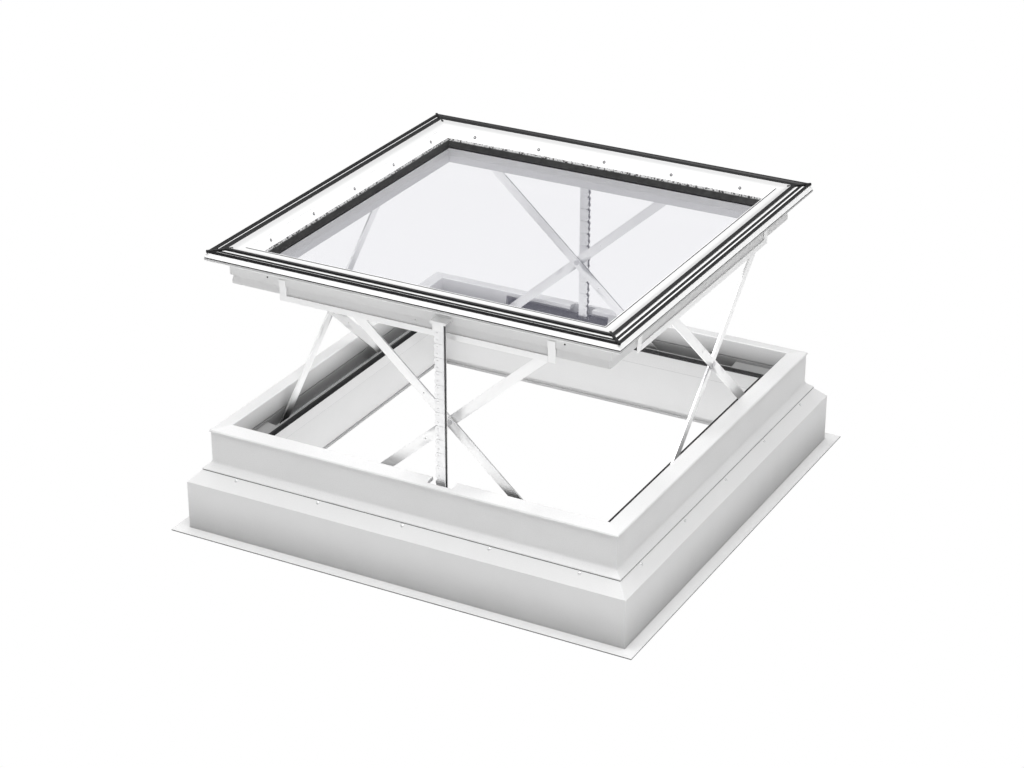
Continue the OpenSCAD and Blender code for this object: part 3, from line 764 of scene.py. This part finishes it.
def reach(node):
    """Inner and outer distance from the middle, and the lowest and highest point, of a ring."""
    distances = [s for s, z in ring_points(node)]
    heights = [z for s, z in ring_points(node)]
    return min(distances), max(distances), min(heights), max(heights)


# %% [markdown]
# Three black seals lie in grooves on top of the sash: a lip that reaches out over the first white rib, a low
# strip, and a raised strip with a rounded crest that hugs the top of the sash's bevel.

# %% Seals on the sash
lip_in, lip_stem, lip_low, lip_high = reach("inner_seal")
lip_reach = lip_stem + 6.0 * MM
lip_thick = 1.9 * MM
lip_seal = ring_of_section([
    (lip_in, lip_low, 0),
    (lip_in, lip_high - 0.1 * MM, 0.2 * MM),
    (lip_reach, lip_high - 0.1 * MM, 0.5 * MM),
    (lip_reach, lip_high - lip_thick, 0.4 * MM),
    (lip_stem, lip_high - lip_thick, 0.4 * MM),
    (lip_stem, lip_low, 0),
])
make_piece(lip_seal, "inner_seal_lip", "sash", "black_rubber", ["inner_seal"])
_, crest_out, z_low, crest_high = reach("outer_seal")
strip_in, strip_out = rib_moves[1][1], rib_moves[2][1]
strip_seal = ring_of_section([
    (strip_in, z_low, 0),
    (strip_in, rib_top + 0.4 * MM, 0.3 * MM),
    (strip_out - 1.2 * MM, rib_top + 2.4 * MM, 0.6 * MM),
    (strip_out, rib_top + 1.2 * MM, 0.5 * MM),
    (strip_out, z_low, 0),
])
make_piece(strip_seal, "outer_seal_strip", "sash", "black_rubber", ["outer_seal"])
crest_in = rib_moves[3][1]
crest_seal = ring_of_section([
    (crest_in, z_low, 0),
    (crest_in, rib_top + 0.2 * MM, 0.3 * MM),
    (crest_in + 3.5 * MM, rib_top + 3.2 * MM, 1.5 * MM),
    (crest_out - 0.8 * MM, crest_high - 0.05 * MM, 1.3 * MM),
    (crest_out + 0.4 * MM, crest_high - 2.5 * MM, 1.0 * MM),
    (crest_out + 1.2 * MM, crest_high - 8.3 * MM, 0.3 * MM),
    (crest_out - 2.0 * MM, z_low, 0),
])
make_piece(crest_seal, "outer_seal_crest", "sash", "black_rubber")
print("seals from", [round(place, 4) for place in (lip_in, strip_in, crest_in)], "to", round(crest_out, 4))

# %% [markdown]
# The glazing bead ends towards the glass in a small raised edge, with a thin black line behind it that is
# painted shadow at the foot of the edge. From outside the line shows, and from inside the edge hides it.

# %% Raised edge of the bead and its painted shadow line
edge_in = min(s for s, z in ring_points("glazing_bead_front") if z > rib_top - 0.1 * MM)
edge_width = 2.0 * MM
edge_rise = 1.9 * MM
shadow_line_width = 2.0 * MM
bead_edge = ring_of_section([
    (edge_in - 0.4 * MM, rib_top - 1.5 * MM, 0),
    (edge_in, rib_top + edge_rise, 0.7 * MM),
    (edge_in + edge_width, rib_top + edge_rise, 0.5 * MM),
    (edge_in + edge_width, rib_top - 1.5 * MM, 0),
])
make_piece(bead_edge, "bead_raised_edge", "sash", "white_pvc", finish=bead_plastic)
# Painted shadow: a black line behind the raised edge.
bead_shadow_line = ring_of_section([
    (edge_in + edge_width, rib_top - 1.0 * MM, 0),
    (edge_in + edge_width, rib_top + 0.5 * MM, 0),
    (edge_in + edge_width + shadow_line_width, rib_top + 0.1 * MM, 0),
    (edge_in + edge_width + shadow_line_width, rib_top - 1.0 * MM, 0),
])
make_piece(bead_shadow_line, "bead_painted_shadow_line", "sash", "black_rubber")
print("edge of the bead at", round(edge_in, 4))

# %% [markdown]
# At each corner a moulded ridge of rubber lies over the mitre and closes the joint between the seals. A bar
# with rounded edges is turned onto the diagonal. It starts on the bead's ramp and ends just past the outer
# seal.

# %% Ridges over the corner mitres
ridge_width = 7.0 * MM
ridge_sink = 8.0 * MM
ridge_start = lip_in - 10.0 * MM
ridge_end = crest_out + 3.5 * MM


def corner_ridge(bm):
    """One ridge over the front right corner, from the bead's ramp to the outer seal."""
    start = Vector((ridge_start, -ridge_start, 0))
    end = Vector((ridge_end, -ridge_end, 0))
    low, high = crest_high - ridge_sink, crest_high
    place = Matrix.Translation((start + end) / 2 + Vector((0, 0, (low + high) / 2)))
    size = Matrix.Diagonal(((end - start).length, ridge_width, high - low, 1))
    bar = bmesh.ops.create_cube(bm, size=1, matrix=place @ Matrix.Rotation(-math.pi / 4, 4, "Z") @ size)
    edges = {edge for vert in bar["verts"] for edge in vert.link_edges}
    bmesh.ops.bevel(bm, geom=list(edges), offset=1.8 * MM, offset_type="OFFSET", affect="EDGES", segments=3,
                    profile=0.5, material=-1, clamp_overlap=True)


ridges = bmesh.new()
corner_ridge(ridges)
first_ridge = ridges.verts[:] + ridges.edges[:] + ridges.faces[:]
bmesh.ops.spin(ridges, geom=first_ridge, cent=(0, 0, 0), axis=(0, 0, 1), dvec=(0, 0, 0),
               angle=1.5 * math.pi, steps=3, use_duplicate=True)
bmesh.ops.recalc_face_normals(ridges, faces=ridges.faces)
make_piece(ridges, "seal_corner_ridges", "sash", "black_rubber")
print("four ridges of", round((ridge_end - ridge_start) * math.sqrt(2), 4), "m")

# %% [markdown]
# Under the sash's bevel a groove runs round the lip. A black strip fills it as painted shade and stays a
# little back from the edge, so that from above it reads as one fine dark line.

# %% Painted shade in the lip's groove
sash_far = ring_points("sash_front")
sash_reach = max(s for s, z in sash_far)
groove_top = max(z for s, z in sash_far if s > sash_reach - 0.1 * MM)
groove_deep = 4.0 * MM
strip_back = 1.0 * MM
# Painted shade: a black strip in the groove.
groove_painted_shade = ring_of_section([
    (sash_reach - groove_deep, groove_top - groove_deep, 0),
    (sash_reach - groove_deep, groove_top - 0.2 * MM, 0),
    (sash_reach - strip_back, groove_top - 0.2 * MM, 0.8 * MM),
    (sash_reach - strip_back, groove_top - groove_deep, 0.8 * MM),
])
make_piece(groove_painted_shade, "lip_groove_painted_shade", "sash", "black_rubber")
print("strip at", round(sash_reach - strip_back, 4), "m, top at", round(groove_top, 4), "m")

# %% [markdown]
# The glazing gasket leans against the glass below the bead, and the frame gasket is a lip on top of the
# frame's inner wall. Both are copies of the imported rings with generous, soft rubber edges. Under the foot of
# the frame a thin black bead in the joint to the kerb is painted shadow, which reads as a fine dark line.

# %% Gaskets and the joint under the frame
gasket = merged_copy("glazing_gasket")
soften(gasket, 1.4 * MM, 3)
make_piece(gasket, "glazing_gasket_lip", "sash", "black_rubber", ["glazing_gasket"], finish=specked_rubber)
gasket = merged_copy("frame_gasket")
soften(gasket, 0.9 * MM, 3)
make_piece(gasket, "frame_gasket_lip", "frame", "black_rubber", ["frame_gasket"])
kerb_points = [v.co for v in frame["nodes"]["kerb_front"].data.vertices]
kerb_top = max(p.z for p in kerb_points)
kerb_top_reach = max(-p.y for p in kerb_points if p.z > kerb_top - 0.1 * MM)
joint_half = 1.3 * MM
joint_s = kerb_top_reach + 1.0 * MM
joint_z = kerb_top - 0.9 * MM
# Painted shadow: a thin black bead in the crevice under the frame's foot.
joint = ring_of_section([
    (joint_s - joint_half, joint_z - joint_half, 0.4 * MM),
    (joint_s - joint_half, joint_z + 0.8 * MM, 0.3 * MM),
    (joint_s + joint_half, joint_z + 0.8 * MM, 0.3 * MM),
    (joint_s + joint_half, joint_z - joint_half, 1.0 * MM),
])
make_piece(joint, "foot_painted_shadow", "frame", "black_rubber")
print("sealant line at", round(joint_s, 4), round(joint_z, 4))

# %% [markdown]
# Screw heads are turned shapes. A half profile of a few vertices is spun once round its axis to make a
# domed head, and a cross is not drawn, because at this size the eye reads only the dome and its shadow. The
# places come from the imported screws: every loose solid gives the point where its head sits.


# %% Screw heads
def loose_solids(node):
    """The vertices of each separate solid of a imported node."""
    bm = merged_copy(node)
    left = set(bm.verts)
    solids = []
    while left:
        grow = [left.pop()]
        solid = []
        while grow:
            vert = grow.pop()
            solid.append(vert.co.copy())
            for edge in vert.link_edges:
                other = edge.other_vert(vert)
                if other in left:
                    left.remove(other)
                    grow.append(other)
        solids.append(solid)
    bm.free()
    return solids


def dome_mesh(radius, height, sink=1.0 * MM, turns=18):
    """A domed head round the Z axis, standing on the plane z = 0, as a mesh that is placed many times."""
    bm = bmesh.new()
    steps = 4
    rim = [Vector((radius, 0, -sink)), Vector((radius, 0, 0.25 * height))]
    arc = [Vector((radius * math.cos(a), 0, 0.25 * height + 0.75 * height * math.sin(a)))
           for a in (math.pi / 2 * i / steps for i in range(1, steps))]
    verts = [bm.verts.new(p) for p in rim + arc + [Vector((0, 0, height))]]
    edges = [bm.edges.new(pair) for pair in zip(verts, verts[1:])]
    bmesh.ops.spin(bm, geom=verts + edges, cent=(0, 0, 0), axis=(0, 0, 1), dvec=(0, 0, 0),
                   angle=2 * math.pi, steps=turns, use_merge=True)
    bmesh.ops.remove_doubles(bm, verts=bm.verts, dist=1e-6)
    bmesh.ops.recalc_face_normals(bm, faces=bm.faces)
    mesh = bpy.data.meshes.new("dome")
    bm.to_mesh(mesh)
    bm.free()
    return mesh


def placed_copies(mesh, seats):
    """One bmesh with a copy of a mesh on every seat: a point on a face and the direction out of it."""
    bm = bmesh.new()
    for point, normal in seats:
        before = len(bm.verts)
        bm.from_mesh(mesh)
        turn = Vector((0, 0, 1)).rotation_difference(normal).to_matrix().to_4x4()
        bmesh.ops.transform(bm, matrix=Matrix.Translation(point) @ turn, verts=bm.verts[:][before:])
    return bm


def screw_seats(node, lean):
    """The top of every packed screw of a node: lean is the angle of its axis over the outward direction."""
    seats = []
    for solid in loose_solids(node):
        middle = sum(solid, Vector()) / len(solid)
        outward = Vector((math.copysign(1, middle.x), 0, 0))
        if abs(middle.y) > abs(middle.x):
            outward = Vector((0, math.copysign(1, middle.y), 0))
        normal = outward * math.cos(lean) + Vector((0, 0, math.sin(lean)))
        top = max(p.dot(normal) for p in solid)
        rim = [p for p in solid if p.dot(normal) > top - 0.1 * MM]
        seats.append((sum(rim, Vector()) / len(rim) - normal * head_height, normal))
    return seats


head_height = 2.0 * MM
slope_lean = math.radians(45)
bead_lean = math.pi - math.atan2(14, 30)
frame_seats = screw_seats("frame_screws", slope_lean)
bead_seats = screw_seats("bead_screws", bead_lean)
frame_heads = placed_copies(dome_mesh(5 * MM, 2.6 * MM), frame_seats)
bead_heads = placed_copies(dome_mesh(2.0 * MM, 1.6 * MM), bead_seats)
# Painted shade: a flat black disc round each bead screw head stands for its shaded well.
bead_well_shade = placed_copies(dome_mesh(4.6 * MM, 0.5 * MM), bead_seats)
make_piece(frame_heads, "frame_screw_heads", "frame", "screw_steel", ["frame_screws"])
make_piece(bead_heads, "bead_screw_heads", "sash", "screw_steel", ["bead_screws"])
make_piece(bead_well_shade, "bead_screw_well_shade", "sash", "black_rubber")
print("heads on", len(frame_seats), "frame screws and", len(bead_seats), "bead screws")

# %% [markdown]
# On the drop under the sash's lip there are a few small round things: flat black discs near the ends of each
# side, painted shade for the mouths of drain holes, and one white plug in the middle. They are flat domes of
# the same make as the screw heads.

# %% Drain holes and plugs on the drop
drop_face = 592.0 * MM
plug_face = 588.0 * MM
hole_height = 798.0 * MM
plug_height = 766.0 * MM
hole_places = (-467 * MM, 457 * MM)
plug_place = 2 * MM


def on_sides(x, s, z):
    """The same point and outward direction on each of the four sides."""
    for quarter in range(len(SIDES)):
        turn = Matrix.Rotation(quarter * math.pi / 2, 3, "Z")
        yield turn @ Vector((x, -s, z)), turn @ Vector((0, -1, 0))


hole_seats = [seat for x in hole_places for seat in on_sides(x, drop_face, hole_height)]
plug_seats = list(on_sides(plug_place, plug_face, plug_height))
# Painted shade: black discs for the mouths of the drain holes.
hole_painted_shade = placed_copies(dome_mesh(2.6 * MM, 0.5 * MM), hole_seats)
plugs = placed_copies(dome_mesh(3.4 * MM, 1.4 * MM), plug_seats)
make_piece(hole_painted_shade, "drain_hole_painted_shade", "sash", "black_rubber")
make_piece(plugs, "drop_plugs", "sash", "white_pvc", finish=bead_plastic)
print(len(hole_seats), "drain holes and", len(plug_seats), "plugs")

# %% [markdown]
# The push chains are the pieces that take the most looking at. The imported links already have scalloped
# plates, rollers and pins, so they are softened like the rest, and a riveted pin head is added at every joint
# of the chain. As the sash comes down the chain runs into its drive.

# %% Push chains
chain_links = 26
lobe = 9.8 * MM
rivet_radius = 3.3 * MM


def push_chain(side):
    node = "push_chain_" + side
    low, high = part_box(node)
    pin_x = low.x + lobe if side == "front" else high.x - lobe
    pitch = (high.z - low.z - 2 * lobe) / chain_links
    heights = [low.z + lobe + pin * pitch for pin in range(chain_links + 1)]
    near = [(Vector((pin_x, low.y, z)), Vector((0, -1, 0))) for z in heights]
    far = [(Vector((pin_x, high.y, z)), Vector((0, 1, 0))) for z in heights]
    rivets = placed_copies(dome_mesh(rivet_radius, 0.9 * MM, turns=12), near + far)
    rivet_mesh = bpy.data.meshes.new("rivets")
    rivets.to_mesh(rivet_mesh)
    rivets.free()
    chain = merged_copy(node)
    soften(chain, 0.3 * MM, 1)
    chain.from_mesh(rivet_mesh)
    piece = make_piece(chain, node + "_links", "frame", "chain_steel", [node])
    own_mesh(piece)
    return pitch


for side in ("front", "back"):
    print(side, "chain pitch", round(push_chain(side), 5))

# %% [markdown]
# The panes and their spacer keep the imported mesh: they are flat and sharp-edged in truth as well. They only
# take their finish. The inner pane's cut edge is closed with a pale tape, level with the spacer above it and
# the sash below it, so that the eye doesn't look into a dark slit there.

# %% Glass and spacer
for node, slot in (("glass_outer_pane", "clear_glass"), ("glass_inner_pane", "clear_glass"),
                   ("glass_spacer", "spacer_metal")):
    mesh = frame["nodes"][node].data
    mesh.materials.clear()
    mesh.materials.append(finishes[slot])
spacer_in, _, cavity_low, _ = reach("glass_spacer")
pane_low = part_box("glass_inner_pane")[0].z
tape_out = spacer_in + 2.0 * MM
edge_tape = ring_of_section([
    (spacer_in, pane_low, 0),
    (spacer_in, cavity_low, 0),
    (tape_out, cavity_low, 0),
    (tape_out, pane_low, 0),
])
make_piece(edge_tape, "pane_edge_tape", "sash", "spacer_metal")
print("panes and spacer finished, tape from", round(pane_low, 4), "to", round(cavity_low, 4))
